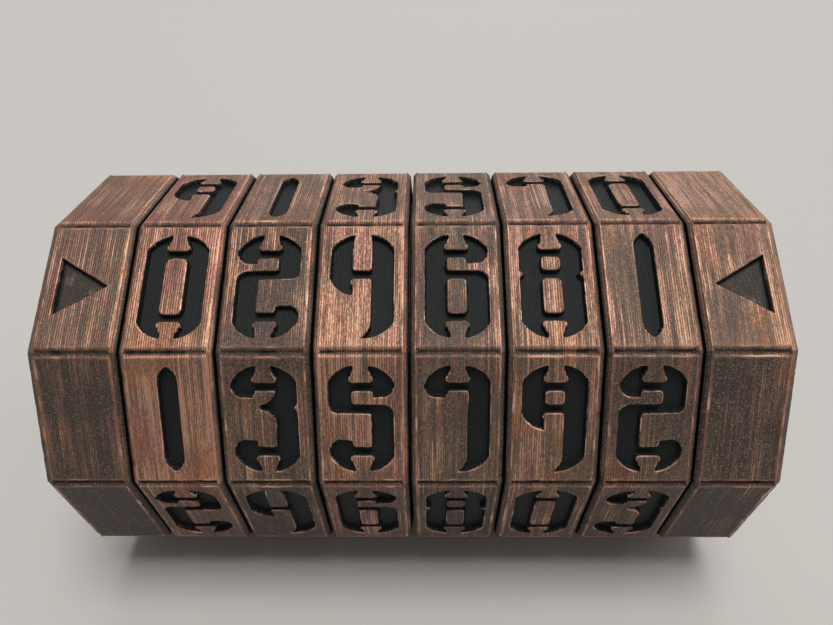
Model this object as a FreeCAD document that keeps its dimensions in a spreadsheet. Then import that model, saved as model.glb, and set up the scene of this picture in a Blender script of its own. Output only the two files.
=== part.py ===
import FreeCAD, Part
import math
import os

# Cryptex: a ten-sided row of six digit dials between a base cap and a pull cap.
# Every dial carries a code ring with one gate. When all six gates line up with the
# slot in the sleeve, the toothed comb on the vault is free and the vault slides out.
# Frame: X runs along the row, Z is up, the marker row faces -Y and up. The row rests
# on one of its flats at Z = 0. Angles round the row start at -Y and rise towards +Z.

doc = FreeCAD.newDocument("Cryptex")

DIAL_COUNT = 6
FACES = 10
FACE_STEP = 360.0 / FACES
MARKER_ANGLE = 54.0
OPEN_CODE = (0, 2, 4, 6, 8, 1)
CAP_SCREW_ANGLES = (114.0, 234.0, 354.0)
COLLAR_SCREW_ANGLES = (144.0, 234.0, 324.0)
CUT_PAST = 1.0

size = {
    # the ten-sided outside, the same for dials and caps
    "across_flats": 55.0,
    "dial_pitch": 12.0,
    "dial_gap": 0.4,
    "row_half": 47.2,
    "side_bevel": 0.6,
    "end_bevel": 0.6,
    "groove_reach": 0.6,
    "groove_depth": 0.65,
    "groove_rim": 0.2,
    "digit_depth": 1.0,
    "marker_depth": 1.0,
    "marker_outer": 45.0,
    "marker_inner": 38.4,
    "marker_half_height": 4.0,
    # running faces between neighbouring dials, outside the plain gap
    "end_play": 0.1,
    # code ring in its dial
    "lip": 2.2,
    "socket_apothem": 23.0,
    "ring_apothem": 22.85,
    "boss_radius": 24.5,
    "tooth_room": 21.6,
    "tooth_room_length": 3.2,
    "gate_width": 6.0,
    "gate_radius": 20.8,
    "ring_bore": 18.1,
    # sleeve
    "sleeve_radius": 18.0,
    "sleeve_bore": 15.3,
    "sleeve_tail": 44.5,
    "sleeve_nose": 39.8,
    "slot_width": 5.4,
    "slot_start": 35.4,
    "flange_apothem": 24.0,
    "flange_floor": 39.0,
    # retaining collar
    "collar_radius": 22.0,
    "collar_bore": 18.05,
    # caps
    "cap_floor": 44.6,
    "key_apothem": 24.1,
    "tail_socket": 18.1,
    "collar_room": 23.2,
    "collar_room_floor": 39.9,
    "vault_socket": 15.05,
    # vault and comb
    "vault_radius": 15.0,
    "vault_bore": 12.5,
    "vault_mouth": 42.0,
    "vault_end": 44.5,
    "vault_end_wall": 1.5,
    "comb_width": 5.0,
    "comb_seat": 14.2,
    "comb_rib": 16.8,
    "comb_start": 35.0,
    "comb_end": 39.8,
    "tooth_radius": 20.2,
    "tooth_length": 3.4,
    "tooth_offset": 1.4,
    "tooth_nose": 0.5,
    # M2.5 countersunk screws in the base, M3 grub screws in the collar
    "screw_circle": 21.0,
    "screw_radius": 1.25,
    "screw_length": 8.0,
    "screw_head_radius": 2.35,
    "screw_head_height": 1.4,
    "screw_fit": 0.05,
    "screw_tip_room": 0.4,
    "grub_radius": 1.5,
    "grub_length": 4.0,
    "grub_tip": 17.5,
    "hex_radius": 0.87,
    "hex_depth": 1.0,
}
size["half_flats"] = size["across_flats"] / 2
size["corner_radius"] = size["half_flats"] / math.cos(math.radians(FACE_STEP / 2))
size["dial_width"] = size["dial_pitch"] - size["dial_gap"]
size["row_inner"] = DIAL_COUNT * size["dial_pitch"] / 2 + size["dial_gap"] / 2
size["stop_face"] = size["row_inner"] - size["dial_gap"] / 2 + size["end_play"] / 2

sheet = doc.addObject("Spreadsheet::Sheet", "Size")
for row, (alias, value) in enumerate(size.items(), 1):
    sheet.set(f"A{row}", alias)
    sheet.set(f"B{row}", f"{value:.5f}")
    sheet.setAlias(f"B{row}", alias)
doc.recompute()

X_AXIS = FreeCAD.Vector(1, 0, 0)
ALONG_ROW = FreeCAD.Rotation(FreeCAD.Vector(1, 1, 1), 120)


def outward(angle):
    """Unit vector away from the row's axis."""
    turn = math.radians(angle)
    return FreeCAD.Vector(0, -math.cos(turn), math.sin(turn))


def upward(angle):
    """Unit vector up the face whose normal points outward at this angle."""
    turn = math.radians(angle)
    return FreeCAD.Vector(0, math.sin(turn), math.cos(turn))


def facing(angle, radius, across=0.0, x=0.0):
    """Placement with its Z outward, its X along the row and its Y up the face."""
    turn = FreeCAD.Rotation(X_AXIS, upward(angle), outward(angle), "XYZ")
    spot = outward(angle) * radius + upward(angle) * across + X_AXIS * x
    return FreeCAD.Placement(spot, turn)


def bind(item, **formulas):
    """Tie properties of an item to formulas in the sheet."""
    for name, formula in formulas.items():
        item.setExpression(name, formula)
    return item


def new_body(label):
    body = doc.addObject("PartDesign::Body", label)
    body.Label = label
    return body


def on_row(body, kind, label, start, length, spot=None, **formulas):
    """A primitive whose axis runs along the row, from X = start over a length."""
    item = body.newObject("PartDesign::" + kind, label)
    item.Placement = FreeCAD.Placement(spot or FreeCAD.Vector(), ALONG_ROW)
    item.setExpression("Placement.Base.x", start)
    return bind(item, Height=length, **formulas)


def decagon(body, kind, label, start, length, circumradius):
    item = on_row(body, kind + "Prism", label, start, length, Circumradius=circumradius)
    item.Polygon = FACES
    return item


def slot_box(body, label, start, length, width_name, from_radius, to_radius):
    """A square-sided cut along the row at the marker angle, between two radii."""
    item = body.newObject("PartDesign::SubtractiveBox", label)
    item.Placement = facing(MARKER_ANGLE, from_radius, across=-size[width_name] / 2)
    item.setExpression("Placement.Base.x", start)
    item.Height = to_radius - from_radius
    return bind(item, Length=length, Width="Size." + width_name)


def rim_edges(shape, x):
    """Names of the edges that lie in the plane at X = x."""
    names = []
    for number, edge in enumerate(shape.Edges, 1):
        if all(abs(vertex.X - x) < 1e-6 for vertex in edge.Vertexes):
            names.append(f"Edge{number}")
    return names


def bevel(body, label, x, formula):
    """Bevel the ten edges round one side of the body's latest feature."""
    doc.recompute()
    source = body.Tip
    item = body.newObject("PartDesign::Chamfer", label)
    item.Base = (source, rim_edges(source.Shape, x))
    return bind(item, Size=formula)


def draw(sketch, start, steps):
    """Draw a closed outline. A step is (x, y) for a line, (x, y, x, y) for an arc."""
    here = FreeCAD.Vector(*start, 0)
    for step in steps:
        there = FreeCAD.Vector(*step[-2:], 0)
        if len(step) == 2:
            sketch.addGeometry(Part.LineSegment(here, there))
        else:
            sketch.addGeometry(Part.Arc(here, FreeCAD.Vector(*step[:2], 0), there))
        here = there


def pocket(body, label, placement, outlines, depth):
    """Sink one or more outlines below the sketch plane."""
    sketch = body.newObject("Sketcher::SketchObject", label + "_outline")
    sketch.Placement = placement
    for start, steps in outlines:
        draw(sketch, start, steps)
    item = body.newObject("PartDesign::Pocket", label)
    item.Profile = sketch
    return bind(item, Length=depth)


def corner_grooves(body, start, length):
    """Vee grooves down the ten corners, from X = start over a length."""
    half_turn = math.radians(FACE_STEP / 2)
    drop = size["groove_reach"] * math.sin(half_turn)
    spread = size["groove_reach"] * math.cos(half_turn)
    above = CUT_PAST / 2
    widen = spread * (above + size["groove_depth"]) / (size["groove_depth"] - drop)
    root = size["corner_radius"] - size["groove_depth"]
    crest = size["corner_radius"] + above
    sketch = body.newObject("Sketcher::SketchObject", "groove_outline")
    sketch.Placement = FreeCAD.Placement(FreeCAD.Vector(), ALONG_ROW)
    sketch.setExpression("Placement.Base.x", start)
    draw(sketch, (-root, 0), [(-crest, -widen), (-crest, widen), (-root, 0)])
    groove = body.newObject("PartDesign::Pocket", "groove")
    groove.Profile = sketch
    groove.Reversed = True
    bind(groove, Length=length)
    pattern = body.newObject("PartDesign::PolarPattern", "grooves")
    pattern.Originals = [groove]
    pattern.Axis = (sketch, ["N_Axis"])
    pattern.Angle = 360
    pattern.Occurrences = FACES
    body.Tip = pattern
    return pattern


def raise_to_axis(body):
    """Lift a body built on the X axis to the row's real height."""
    return bind(body, **{"Placement.Base.z": "Size.half_flats"})


def copy_of(source, label, placement):
    """The same piece again at another place."""
    item = doc.addObject("Part::Compound", label)
    item.Label = label
    item.Links = [source]
    item.Placement = placement
    return item


# ---------------------------------------------------------------- digit outlines
# Blackletter-style digits on a face 12 mm wide: X across, Y up, centred on the face.
# Each digit is cut from one or more closed outlines; inner outlines stay standing.

SIDE = 4.05
SHOULDER = 5.0
TIP = 7.1


def mirrored(steps):
    """Left-right mirror of a list of steps."""
    return [tuple(-v if i % 2 == 0 else v for i, v in enumerate(step)) for step in steps]


def half_turned(steps):
    """The same steps turned half round the middle of the face."""
    return [tuple(-v for v in step) for step in steps]


def island(left, right, bottom, top, corner=0.65):
    """A standing block with rounded corners."""
    inset = corner * (1 - math.sqrt(0.5))
    steps = [
        (right - corner, top),
        (right - inset, top - inset, right, top - corner),
        (right, bottom + corner),
        (right - inset, bottom + inset, right - corner, bottom),
        (left + corner, bottom),
        (left + inset, bottom + inset, left, bottom + corner),
        (left, top - corner),
        (left + inset, top - inset, left + corner, top),
    ]
    return (left + corner, top), steps


# the standing tooth between two claw tips, left to right
TOOTH = [
    (-1.06, 6.3, -1.5, 5.5),
    (-1.37, 5.06, -0.9, 4.9),
    (0.9, 4.9),
    (1.37, 5.06, 1.5, 5.5),
    (1.06, 6.3, 1.0, TIP),
]
TOP_LEFT_TIP = (-1.0, TIP)
RIGHT_SHOULDER = [(2.95, 6.3, SIDE, SHOULDER)]
RIGHT_SIDE = [(SIDE, -SHOULDER)]
RIGHT_FOOT = [(2.95, -6.3, 1.0, -TIP)]
BOTTOM_TOOTH = half_turned(TOOTH)
LEFT_FOOT = half_turned(RIGHT_SHOULDER)
LEFT_SIDE = half_turned(RIGHT_SIDE)
LEFT_SHOULDER = half_turned(RIGHT_FOOT)

# a claw closed to a leaf, from its open end to the claw tip at top left
TOP_LEFT_LEAF = [(-2.6, 3.0), (-3.75, 3.45, -4.1, 4.5), (-SIDE, SHOULDER)] + LEFT_SHOULDER
# the same leaf at bottom left, from the claw tip to its open end
BOTTOM_LEFT_LEAF = LEFT_FOOT + [(-4.1, -4.2), (-3.7, -3.15, -2.5, -2.75), (-1.3, -2.85)]
# the long right stroke, ending in a hooked tip, back up to the inner edge
HOOKED_STROKE = RIGHT_SHOULDER + RIGHT_SIDE + [
    (2.6, -6.5, 0.1, -TIP),
    (1.0, -5.9, 1.2, -4.6),
]
# inner edge of the lower block and the hook to its left
LEFT_HOOK = [
    (1.2, 0.4),
    (1.07, 0.72, 0.75, 0.85),
    (-0.95, 0.85),
    (-1.35, 0.68, -1.45, 0.3),
    (-1.2, -0.5, -1.2, -1.4),
    (-2.95, -0.65, -4.1, 0.9),
    (-SIDE, SHOULDER),
] + LEFT_SHOULDER


def digit_zero():
    outer = TOOTH + RIGHT_SHOULDER + RIGHT_SIDE + RIGHT_FOOT
    outer += BOTTOM_TOOTH + LEFT_FOOT + LEFT_SIDE + LEFT_SHOULDER
    return [(TOP_LEFT_TIP, outer), island(-1.35, 1.35, -3.95, 3.8)]


def digit_one():
    right = [(0.88, 6.3, 1.3, 5.2), (1.3, -5.2), (0.88, -6.3, 0.0, -TIP)]
    return [((0.0, TIP), right + half_turned(right))]


def digit_five():
    upper = [
        (2.95, 6.3, 4.1, 4.9),
        (3.85, 3.7, 3.0, 3.05),
        (1.5, 2.95),
        (1.5, 3.35),
        (1.37, 3.67, 1.05, 3.8),
        (-0.75, 3.8),
        (-1.07, 3.67, -1.2, 3.35),
        (-1.2, 2.5),
        (-1.07, 2.18, -0.75, 2.05),
        (2.4, 2.0),
        (3.5, 1.72, SIDE, 1.1),
    ]
    lower = [
        (-1.0, -3.7),
        (0.85, -3.75),
        (1.17, -3.62, 1.3, -3.3),
        (1.3, 0.35),
        (1.17, 0.66, 0.85, 0.8),
        (-2.9, 0.9),
        (-3.75, 1.2, -SIDE, 1.9),
        (-SIDE, SHOULDER),
    ]
    outer = TOOTH + upper + RIGHT_SIDE + RIGHT_FOOT + BOTTOM_TOOTH
    return [(TOP_LEFT_TIP, outer + BOTTOM_LEFT_LEAF + lower + LEFT_SHOULDER)]


def digit_two():
    (x, y), steps = digit_five()[0]
    return [((-x, y), mirrored(steps))]


def digit_three():
    middle = [
        (-1.2, -3.6),
        (0.8, -3.75),
        (1.15, -3.6, 1.25, -3.2),
        (1.35, -0.3),
        (0.72, 0.72, -0.6, 1.35),
        (-0.72, 1.68),
        (-0.6, 1.95),
        (0.7, 2.6, 1.4, 3.7),
        (1.15, 3.85),
        (-1.15, 3.85),
        (-1.5, 2.95),
    ]
    notch = [(SIDE, 2.2), (3.6, 1.6), (SIDE, 1.0)]
    outer = TOOTH + RIGHT_SHOULDER + notch + RIGHT_SIDE + RIGHT_FOOT
    return [(TOP_LEFT_TIP, outer + BOTTOM_TOOTH + BOTTOM_LEFT_LEAF + middle + TOP_LEFT_LEAF)]


def digit_four():
    column = [
        (-1.15, 6.1, -1.3, 5.0),
        (-1.3, 2.45),
        (-1.17, 2.13, -0.85, 2.0),
        (0.75, 2.0),
        (1.07, 2.13, 1.2, 2.45),
        (1.2, 5.0),
        (1.1, 6.1, 1.0, TIP),
    ]
    return [(TOP_LEFT_TIP, column + HOOKED_STROKE + LEFT_HOOK)]


def digit_six():
    upper = [
        (2.95, 6.3, SIDE, SHOULDER),
        (3.75, 3.75, 3.0, 3.1),
        (1.25, 2.95),
        (1.25, 3.35),
        (1.12, 3.67, 0.8, 3.8),
        (-0.85, 3.8),
        (-1.17, 3.67, -1.3, 3.35),
        (-1.3, 2.45),
        (-1.17, 2.13, -0.85, 2.0),
        (2.4, 1.95),
        (3.5, 1.62, SIDE, 0.9),
    ]
    outer = TOOTH + upper + RIGHT_SIDE + RIGHT_FOOT
    outer += BOTTOM_TOOTH + LEFT_FOOT + LEFT_SIDE + LEFT_SHOULDER
    return [(TOP_LEFT_TIP, outer), island(-1.3, 1.3, -3.9, 0.85)]


def digit_seven():
    block = [(1.35, 3.3), (1.2, 3.7, 0.8, 3.85), (-1.15, 3.85), (-1.5, 2.95)]
    return [(TOP_LEFT_TIP, TOOTH + HOOKED_STROKE + block + TOP_LEFT_LEAF)]


def digit_eight():
    right_notch = [(SIDE, 1.9), (3.45, 1.45), (SIDE, 0.85)]
    left_notch = [(-SIDE, 0.85), (-3.45, 1.45), (-SIDE, 1.9)]
    outer = TOOTH + RIGHT_SHOULDER + right_notch + RIGHT_SIDE + RIGHT_FOOT
    outer += BOTTOM_TOOTH + LEFT_FOOT + left_notch + LEFT_SIDE + LEFT_SHOULDER
    blocks = [island(-1.25, 1.25, 2.0, 3.85), island(-1.25, 1.25, -3.9, 0.85)]
    return [(TOP_LEFT_TIP, outer)] + blocks


def digit_nine():
    return [(TOP_LEFT_TIP, TOOTH + HOOKED_STROKE + LEFT_HOOK), island(-1.3, 1.25, 2.0, 3.8)]


DIGITS = (
    digit_zero(), digit_one(), digit_two(), digit_three(), digit_four(),
    digit_five(), digit_six(), digit_seven(), digit_eight(), digit_nine(),
)

# ---------------------------------------------------------------- dial and code ring
dial = new_body("dial_blank")
half_width = size["dial_width"] / 2
decagon(dial, "Additive", "outside", "-Size.dial_width / 2", "Size.dial_width", "Size.corner_radius")
bevel(dial, "left_bevel", -half_width, "Size.side_bevel")
bevel(dial, "right_bevel", half_width, "Size.side_bevel")
on_row(dial, "AdditiveCylinder", "left_boss",
       "-Size.dial_pitch / 2 + Size.end_play / 2",
       "Size.dial_gap / 2 - Size.end_play / 2 + Size.lip",
       Radius="Size.boss_radius")
on_row(dial, "SubtractiveCylinder", "lip_bore",
       "-Size.dial_pitch / 2", "Size.dial_pitch", Radius="Size.tooth_room")
decagon(dial, "Subtractive", "ring_socket",
        "-Size.dial_width / 2 + Size.lip", "Size.dial_width",
        "Size.socket_apothem / cos(18)")
corner_grooves(dial, "-Size.dial_width / 2 + Size.side_bevel",
               "Size.dial_width - 2 * Size.side_bevel")
for value, outlines in enumerate(DIGITS):
    place = facing(MARKER_ANGLE - FACE_STEP * value, size["half_flats"])
    pocket(dial, f"digit_{value}", place, outlines, "Size.digit_depth")

ring = new_body("code_ring_blank")
ring_start = "-Size.dial_width / 2 + Size.lip"
ring_length = "Size.dial_pitch - Size.lip - Size.dial_gap / 2 - Size.end_play / 2"
decagon(ring, "Additive", "outside", ring_start, ring_length, "Size.ring_apothem / cos(18)")
on_row(ring, "SubtractiveCylinder", "tooth_room", ring_start, "Size.tooth_room_length",
       Radius="Size.tooth_room")
on_row(ring, "SubtractiveCylinder", "bore", ring_start, "Size.dial_pitch", Radius="Size.ring_bore")
slot_box(ring, "gate", ring_start, "Size.dial_pitch", "gate_width",
         size["ring_bore"] - CUT_PAST, size["gate_radius"])

# Each dial shows its own digit at the marker, and every gate waits at the marker.
pieces = []
for number, digit in enumerate(OPEN_CODE):
    middle = (number - (DIAL_COUNT - 1) / 2) * size["dial_pitch"]
    spot = FreeCAD.Vector(middle, 0, size["half_flats"])
    turned = FreeCAD.Rotation(X_AXIS, -FACE_STEP * digit)
    pieces.append(copy_of(dial, f"dial_{number + 1}", FreeCAD.Placement(spot, turned)))
    straight = FreeCAD.Placement(spot, FreeCAD.Rotation())
    pieces.append(copy_of(ring, f"code_ring_{number + 1}", straight))

# ---------------------------------------------------------------- the two end caps


def marker_triangle(side):
    """Outline of the marker that points at the dials."""
    outer, inner = side * size["marker_outer"], side * size["marker_inner"]
    top = size["marker_half_height"]
    return [((outer, top), [(inner, 0.0), (outer, -top), (outer, top)])]


def cap_shell(label, side):
    """The beveled ten-sided block of a cap: side is -1 for the base, +1 for the pull cap."""
    body = new_body(label)
    start = "-Size.row_half" if side < 0 else "Size.row_inner"
    decagon(body, "Additive", "outside", start, "Size.row_half - Size.row_inner",
            "Size.corner_radius")
    bevel(body, "outer_bevel", side * size["row_half"], "Size.end_bevel")
    bevel(body, "inner_bevel", side * size["row_inner"], "Size.side_bevel")
    rim = "Size.row_half - Size.end_bevel - Size.groove_rim"
    from_x = "-(" + rim + ")" if side < 0 else "Size.row_inner + Size.side_bevel"
    corner_grooves(body, from_x, "(" + rim + ") - Size.row_inner - Size.side_bevel")
    place = facing(MARKER_ANGLE, size["half_flats"])
    pocket(body, "marker", place, marker_triangle(side), "Size.marker_depth")
    return body


base_cap = cap_shell("base_cap", -1)
decagon(base_cap, "Subtractive", "key_socket", "-Size.flange_floor", "Size.flange_floor",
        "Size.key_apothem / cos(18)")
on_row(base_cap, "SubtractiveCylinder", "tail_room", "-Size.cap_floor", "Size.cap_floor",
       Radius="Size.tail_socket")
for angle in CAP_SCREW_ANGLES:
    on_row(base_cap, "SubtractiveCylinder", "screw_hole",
           "-Size.stop_face - Size.screw_length - Size.screw_tip_room", "Size.screw_length",
           spot=outward(angle) * size["screw_circle"],
           Radius="Size.screw_radius + Size.screw_fit")

pull_cap = cap_shell("pull_cap", 1)
on_row(pull_cap, "SubtractiveCylinder", "collar_room", "0",
       "Size.collar_room_floor", Radius="Size.collar_room")
on_row(pull_cap, "SubtractiveCylinder", "vault_room", "0", "Size.cap_floor",
       Radius="Size.vault_socket")

# ---------------------------------------------------------------- sleeve and its fixings
sleeve = new_body("sleeve")
on_row(sleeve, "AdditiveCylinder", "tube", "-Size.sleeve_tail",
       "Size.sleeve_tail + Size.sleeve_nose", Radius="Size.sleeve_radius")
decagon(sleeve, "Additive", "key_flange", "-Size.flange_floor",
        "Size.flange_floor - Size.stop_face", "Size.flange_apothem / cos(18)")
on_row(sleeve, "SubtractiveCylinder", "bore", "-Size.sleeve_tail - 1", "2 * Size.row_half",
       Radius="Size.sleeve_bore")
slot_box(sleeve, "slot", "-Size.slot_start", "2 * Size.row_half", "slot_width",
         size["sleeve_bore"] - CUT_PAST, size["sleeve_radius"] + CUT_PAST)
for angle in CAP_SCREW_ANGLES:
    spot = outward(angle) * size["screw_circle"]
    on_row(sleeve, "SubtractiveCylinder", "flange_hole", "-Size.flange_floor - 1",
           "Size.screw_length", spot=spot, Radius="Size.screw_radius + Size.screw_fit")
    on_row(sleeve, "SubtractiveCone", "countersink",
           "-Size.stop_face - Size.screw_head_height", "Size.screw_head_height", spot=spot,
           Radius1="Size.screw_radius + Size.screw_fit",
           Radius2="Size.screw_head_radius + Size.screw_fit")

collar = new_body("retaining_collar")
on_row(collar, "AdditiveCylinder", "ring", "Size.stop_face",
       "Size.sleeve_nose - Size.stop_face", Radius="Size.collar_radius")
on_row(collar, "SubtractiveCylinder", "bore", "0", "Size.row_half", Radius="Size.collar_bore")
slot_box(collar, "gate", "0", "Size.row_half", "gate_width",
         size["collar_bore"] - CUT_PAST, size["gate_radius"])

collar_middle = (size["stop_face"] + size["sleeve_nose"]) / 2
for angle in COLLAR_SCREW_ANGLES:
    tip = facing(angle, size["grub_tip"], x=collar_middle)
    for body, label in ((sleeve, "grub_seat"), (collar, "grub_hole")):
        hole = body.newObject("PartDesign::SubtractiveCylinder", label)
        hole.Placement = tip
        bind(hole, Radius="Size.grub_radius + Size.screw_fit", Height="Size.collar_radius")


def hex_socket(body, top):
    """Hexagon drive sunk below the top of a screw."""
    item = body.newObject("PartDesign::SubtractivePrism", "hex_socket")
    item.setExpression("Placement.Base.z", top + " - Size.hex_depth")
    bind(item, Circumradius="Size.hex_radius", Height="Size.hex_depth")


grub = new_body("grub_screw")
bind(grub.newObject("PartDesign::AdditiveCylinder", "thread"),
     Radius="Size.grub_radius", Height="Size.grub_length")
hex_socket(grub, "Size.grub_length")

screw = new_body("countersunk_screw")
shank = screw.newObject("PartDesign::AdditiveCylinder", "thread")
shank.setExpression("Placement.Base.z", "-Size.screw_length")
bind(shank, Radius="Size.screw_radius", Height="Size.screw_length")
head = screw.newObject("PartDesign::AdditiveCone", "head")
head.setExpression("Placement.Base.z", "-Size.screw_head_height")
bind(head, Radius1="Size.screw_radius", Radius2="Size.screw_head_radius",
     Height="Size.screw_head_height")
hex_socket(screw, "0")

lift = FreeCAD.Vector(0, 0, size["half_flats"])


def screw_group(label, source, placements):
    """Identical screws kept together as one piece list entry."""
    group = doc.addObject("Part::Compound", label)
    group.Label = label
    copies = []
    for count, placement in enumerate(placements, 1):
        placement.Base = placement.Base + lift
        copies.append(copy_of(source, f"{label}_{count}", placement))
    group.Links = copies
    return group


collar_screws = screw_group("collar_screws", grub, [
    facing(angle, size["grub_tip"] + size["screw_fit"], x=collar_middle)
    for angle in COLLAR_SCREW_ANGLES])
base_screws = screw_group("base_screws", screw, [
    FreeCAD.Placement(outward(angle) * size["screw_circle"] - X_AXIS * size["stop_face"],
                      ALONG_ROW)
    for angle in CAP_SCREW_ANGLES])

# ---------------------------------------------------------------- vault and comb
vault = new_body("vault_tube")
on_row(vault, "AdditiveCylinder", "tube", "-Size.vault_mouth",
       "Size.vault_mouth + Size.vault_end", Radius="Size.vault_radius")
on_row(vault, "SubtractiveCylinder", "cavity", "-Size.vault_mouth",
       "Size.vault_mouth + Size.vault_end - Size.vault_end_wall", Radius="Size.vault_bore")
slot_box(vault, "comb_seat", "-Size.comb_start", "Size.comb_start + Size.comb_end",
         "comb_width", size["comb_seat"], size["comb_rib"])


def comb_profile():
    """Side view of the comb: X along the row, Y outward, one tooth under each dial."""
    top = size["comb_rib"]
    crest = size["tooth_radius"]
    nose = size["tooth_nose"]
    steps = []
    for number in range(DIAL_COUNT):
        left = (number - DIAL_COUNT / 2) * size["dial_pitch"] + size["dial_gap"] / 2
        left += size["tooth_offset"]
        right = left + size["tooth_length"]
        steps += [(left, top), (left, crest - nose), (left + nose, crest)]
        steps += [(right - nose, crest), (right, crest - nose), (right, top)]
    seat = size["comb_seat"]
    start = (-size["comb_start"], seat)
    return start, [
        (-size["comb_start"], top), *steps,
        (size["comb_end"], top), (size["comb_end"], seat), start]


comb = new_body("lock_comb")
comb_sketch = comb.newObject("Sketcher::SketchObject", "comb_outline")
side_view = FreeCAD.Rotation(X_AXIS, outward(MARKER_ANGLE), upward(MARKER_ANGLE) * -1, "XYZ")
comb_sketch.Placement = FreeCAD.Placement(FreeCAD.Vector(), side_view)
draw(comb_sketch, *comb_profile())
comb_pad = comb.newObject("PartDesign::Pad", "comb")
comb_pad.Profile = comb_sketch
comb_pad.Midplane = True
bind(comb_pad, Length="Size.comb_width")

on_axis = (base_cap, pull_cap, sleeve, collar, vault, comb)
for body in on_axis:
    raise_to_axis(body)
pieces += [*on_axis, collar_screws, base_screws]

# ---------------------------------------------------------------- check and write
doc.recompute()
faults = [f"{item.Label}: {item.State}" for item in doc.Objects
          if "Invalid" in item.State or "Error" in item.State]
faults += [piece.Label for piece in pieces if piece.Shape.isNull() or not piece.Shape.isValid()]
if faults:
    raise RuntimeError("faulty features: " + "; ".join(faults))

os.makedirs("parts", exist_ok=True)
for piece in pieces:
    piece.Shape.exportStep(f"parts/{piece.Label}.step")
    box = piece.Shape.BoundBox
    print(f"{piece.Label}: {len(piece.Shape.Solids)} solid(s), "
          f"X {box.XMin:.2f}..{box.XMax:.2f}, Y {box.YMin:.2f}..{box.YMax:.2f}, "
          f"Z {box.ZMin:.2f}..{box.ZMax:.2f}")
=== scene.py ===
import math

import bmesh
import bpy
import numpy as np
from mathutils import Matrix, Vector
from mathutils.geometry import delaunay_2d_cdt


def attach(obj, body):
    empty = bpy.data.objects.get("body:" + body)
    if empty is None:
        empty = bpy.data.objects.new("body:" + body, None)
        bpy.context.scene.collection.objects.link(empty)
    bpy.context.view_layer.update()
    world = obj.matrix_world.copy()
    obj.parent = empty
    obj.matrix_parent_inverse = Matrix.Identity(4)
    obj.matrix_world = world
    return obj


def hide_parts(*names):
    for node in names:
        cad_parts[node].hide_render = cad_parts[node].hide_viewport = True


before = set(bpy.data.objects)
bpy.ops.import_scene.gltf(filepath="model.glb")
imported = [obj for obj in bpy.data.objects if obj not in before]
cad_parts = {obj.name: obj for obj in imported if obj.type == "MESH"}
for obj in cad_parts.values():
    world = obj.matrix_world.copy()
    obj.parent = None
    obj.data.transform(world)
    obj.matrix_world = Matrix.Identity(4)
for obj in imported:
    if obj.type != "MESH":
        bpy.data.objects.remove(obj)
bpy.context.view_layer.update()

# Looks for the cryptex. Lengths are in millimetres until a mesh is written, in the frame's
# own axes: X along the row, Z up, marker row towards -Y and up. Angles round the row start
# at -Y and rise towards +Z.

MM = 0.001
FACES = 10
STEP = 360.0 / FACES
MARKER = 54.0
CODE = (0, 2, 4, 6, 8, 1)
AXIS_Z = 27.5
APOTHEM = 27.5
HALF_FACE = APOTHEM * math.tan(math.radians(STEP / 2))
DIAL_WIDTH = 11.6
SIDE_BEVEL = 0.6
# the caps' outer bevels are worn wider than they are deep
END_BEVEL = 0.85
END_DROP = 0.6
GROOVE_REACH = 0.6
GROOVE_DROP = 0.62
DIGIT_DEPTH = 1.0
MARKER_OUTER, MARKER_INNER, MARKER_HALF = 45.0, 38.4, 4.0
# printed layers on the sides, nozzle passes on the flat ends, and how much shorter the
# streaks are on the ends
LAYER = 0.3
PASS = 0.42
END_SHORTER = 2.4

# ------------------------------------------------------------------ digit outlines
# The same outlines as the CAD: X across, Y up, centred on the face. A step is (x, y) for
# a line and (x, y, x, y) for an arc through the first point to the second.

SIDE = 4.05
SHOULDER = 5.0
TIP = 7.1


def mirrored(steps):
    """The steps with left and right swapped."""
    return [tuple(-v if i % 2 == 0 else v for i, v in enumerate(step)) for step in steps]


def half_turned(steps):
    """The steps turned by half a turn about the middle of the face."""
    return [tuple(-v for v in step) for step in steps]


def island(left, right, bottom, top, corner=0.65):
    """A standing block with rounded corners."""
    inset = corner * (1 - math.sqrt(0.5))
    steps = [
        (right - corner, top),
        (right - inset, top - inset, right, top - corner),
        (right, bottom + corner),
        (right - inset, bottom + inset, right - corner, bottom),
        (left + corner, bottom),
        (left + inset, bottom + inset, left, bottom + corner),
        (left, top - corner),
        (left + inset, top - inset, left + corner, top),
    ]
    return (left + corner, top), steps


TOOTH = [
    (-1.06, 6.3, -1.5, 5.5),
    (-1.37, 5.06, -0.9, 4.9),
    (0.9, 4.9),
    (1.37, 5.06, 1.5, 5.5),
    (1.06, 6.3, 1.0, TIP),
]
TOP_LEFT_TIP = (-1.0, TIP)
RIGHT_SHOULDER = [(2.95, 6.3, SIDE, SHOULDER)]
RIGHT_SIDE = [(SIDE, -SHOULDER)]
RIGHT_FOOT = [(2.95, -6.3, 1.0, -TIP)]
BOTTOM_TOOTH = half_turned(TOOTH)
LEFT_FOOT = half_turned(RIGHT_SHOULDER)
LEFT_SIDE = half_turned(RIGHT_SIDE)
LEFT_SHOULDER = half_turned(RIGHT_FOOT)
TOP_LEFT_LEAF = [(-2.6, 3.0), (-3.75, 3.45, -4.1, 4.5), (-SIDE, SHOULDER)] + LEFT_SHOULDER
BOTTOM_LEFT_LEAF = LEFT_FOOT + [(-4.1, -4.2), (-3.7, -3.15, -2.5, -2.75), (-1.3, -2.85)]
HOOKED_STROKE = RIGHT_SHOULDER + RIGHT_SIDE + [
    (2.6, -6.5, 0.1, -TIP),
    (1.0, -5.9, 1.2, -4.6),
]
LEFT_HOOK = [
    (1.2, 0.4),
    (1.07, 0.72, 0.75, 0.85),
    (-0.95, 0.85),
    (-1.35, 0.68, -1.45, 0.3),
    (-1.2, -0.5, -1.2, -1.4),
    (-2.95, -0.65, -4.1, 0.9),
    (-SIDE, SHOULDER),
] + LEFT_SHOULDER


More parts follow.
